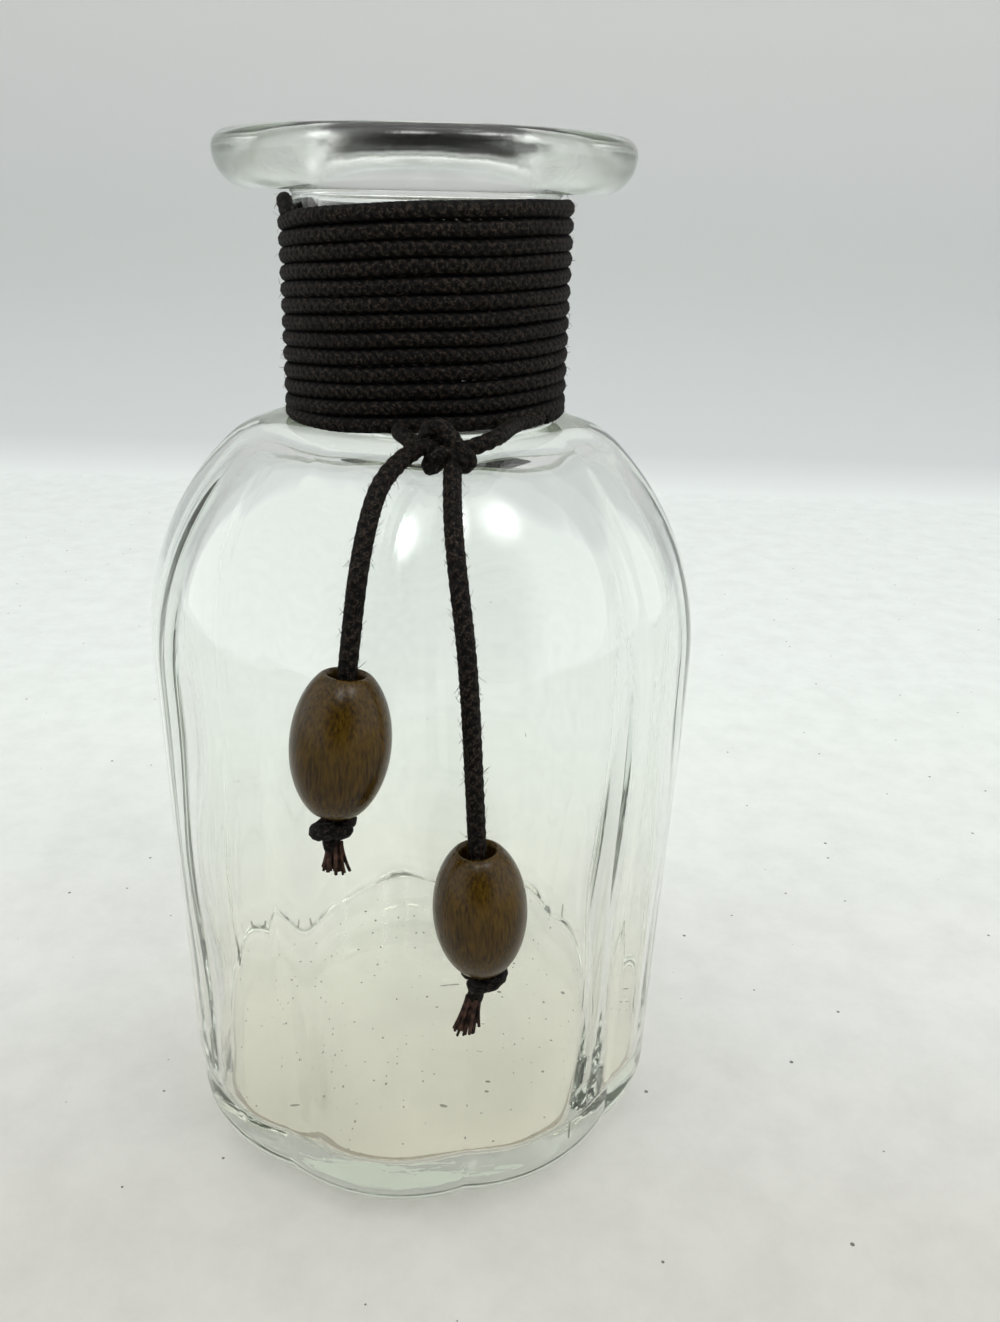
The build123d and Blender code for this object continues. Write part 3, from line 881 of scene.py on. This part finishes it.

# %% [markdown]

# %% [markdown]
# The bottle stands on a sweep of pale paper that curves up into a wall, where a little shade is
# painted into its colour. Glass has no colour of its own: what it shows is this paper, bent and
# flipped, so the sweep is made of real geometry and is large enough to fill every ray that leaves
# the bottle. It lies a tenth of a millimetre under the base, because two surfaces in one plane
# would draw a dark edge through the glass.

# %% Paper sweep
under_base, curve_start, curve_radius, half_width = -0.1, 480.0, 160.0, 1500.0
sweep_line = [(-900.0, under_base)]
sweep_line += [(y, under_base) for y in np.linspace(-800, curve_start, 17)]
sweep_line += [
    (curve_start + curve_radius * math.sin(t), curve_radius - curve_radius * math.cos(t))
    for t in np.linspace(0.1, math.pi / 2, 14)
]
sweep_line += [(curve_start + curve_radius, z) for z in np.linspace(240, 1800, 10)]
paper_points, paper_faces = [], []
for y, z in sweep_line:
    paper_points += [(-half_width, y, z), (half_width, y, z)]
for i in range(len(sweep_line) - 1):
    paper_faces.append((2 * i, 2 * i + 1, 2 * i + 3, 2 * i + 2))
paper = new_object("paper_sweep", np.array(paper_points) * mm, paper_faces)
print("paper", len(paper_faces), "faces")

# %% [markdown]
# The paper's colour is painted light and shade: it follows how far back and how far up a point
# is, darkest in front, brightest behind the bottle, grey on the wall. Smudges and a few dark
# crumbs lie on the floor only. The bottle gathers light on to the paper under it, which path
# tracing can't find through glass with clear shadows, so the paper there is painted a little
# brighter.

# %% Paper
paper_white, tree, surface = shader("paper_white")
place = own_place(tree)
back_and_up = {0: place, 1: (0.0, 1.0, 0.5)}
depth = add(tree, "VectorMath", back_and_up, operation="DOT_PRODUCT").outputs["Value"]
# Painted light and shade: dark in front and on the wall, brightest behind the bottle.
paper_light_and_shade = [
    (0.08, (0.574, 0.569, 0.530)), (0.15, (0.708, 0.713, 0.686)),
    (0.25, (0.755, 0.792, 0.750)), (0.38, (0.787, 0.822, 0.795)),
    (0.69, (0.858, 0.895, 0.878)), (0.755, (0.685, 0.712, 0.714)),
    (0.90, (0.648, 0.675, 0.670)), (1.00, (0.715, 0.713, 0.717)),
]
lit_and_shaded_tone = ramped(tree, spread(tree, depth, -0.12, 0.78), paper_light_and_shade)
smudges = noise(tree, place, scale=80.0, detail=10.0, roughness=0.7)
worn = spread(tree, smudges, 0.25, 0.60, 0.90, 1.0)
lying = maths(tree, "LESS_THAN", height_of(tree, place), 1 * mm)
floor_wear = add(tree, "Mix", {"Factor": lying, 2: 0.971, 3: worn}).outputs[0]
from_crumb, crumb_size = specks(tree, place, scale=70.0, rare_above=0.5, size=0.028)
crumb_here = maths(tree, "MULTIPLY", crumb_size, lying)
off_crumb = maths(tree, "GREATER_THAN", from_crumb, crumb_here)
marks = maths(tree, "MULTIPLY", floor_wear, spread(tree, off_crumb, 0.0, 1.0, 0.25, 1.0))
from_centre = add(tree, "VectorMath", {0: place}, operation="LENGTH").outputs["Value"]
gathered = spread(tree, from_centre, 40 * mm, 32 * mm, 1.0, 1.17)
brightness = {0: lit_and_shaded_tone, "Scale": maths(tree, "MULTIPLY", marks, gathered)}
fill(tree, surface, {
    "Base Color": add(tree, "VectorMath", brightness, operation="SCALE").outputs["Vector"],
    "Roughness": 0.9,
    "Specular IOR Level": 0.1,
})
paper.data.materials.append(paper_white)

# %% [markdown]
# Two soft lights hang high in front, one near the middle and one to the right. They give the
# shoulder its two highlights and the bottle a weak shadow. They are brightest in the middle
# and fade to their edges, so that their mirror images in the glass have no hard corners. A
# pale room all round does the rest. It is dark only in a cone towards the viewer, where the
# photographer stood: those dark reflections draw the edges of clear glass. The camera itself
# sees a plain wall where the paper ends.

# %% Light
def softbox(name, place, aim, width, height, power):
    lamp = bpy.data.lights.new(name, "AREA")
    lamp.shape = "RECTANGLE"
    lamp.size, lamp.size_y = width, height
    lamp.energy = power
    lamp.use_nodes = True
    tree = lamp.node_tree
    across = add(tree, "NewGeometry", {}).outputs["Parametric"]
    centred = {"Vector": across, "Location": (-1, -1, 0), "Scale": (2, 2, 0)}
    middle = add(tree, "Mapping", centred).outputs["Vector"]
    fade = add(tree, "TexGradient", {"Vector": middle}, gradient_type="QUADRATIC_SPHERE")
    strength = maths(tree, "MULTIPLY", fade.outputs["Fac"], 4.0)
    fill(tree, tree.nodes["Emission"], {"Strength": strength})
    holder = bpy.data.objects.new(name, lamp)
    bpy.context.scene.collection.objects.link(holder)
    holder.location = place
    holder.rotation_euler = (Vector(aim) - Vector(place)).to_track_quat("-Z", "Y").to_euler()


softbox("key_light", (-0.05, -0.53, 0.85), (0, 0, 0.08), 0.40, 0.44, 2.6)
softbox("fill_light", (0.38, -0.37, 0.85), (0, 0, 0.08), 0.50, 0.42, 2.8)
world = bpy.data.worlds.new("studio")
bpy.context.scene.world = world
world.use_nodes = True
tree = world.node_tree
away = {0: add(tree, "TexCoord", {}).outputs["Generated"], 1: (-0.07, 0.93, -0.36)}
facing = add(tree, "VectorMath", away, operation="DOT_PRODUCT").outputs["Value"]
room = spread(tree, facing, -0.98, -0.62, 0.05, 1.48, kind="SMOOTHSTEP")
seen = add(tree, "LightPath", {}).outputs["Is Camera Ray"]
plain_wall = add(tree, "Mix", {"Factor": seen, 2: room, 3: 0.62}).outputs[0]
sky = {"Color": (0.93, 0.94, 0.93, 1), "Strength": plain_wall}
fill(tree, tree.nodes["Background"], sky)
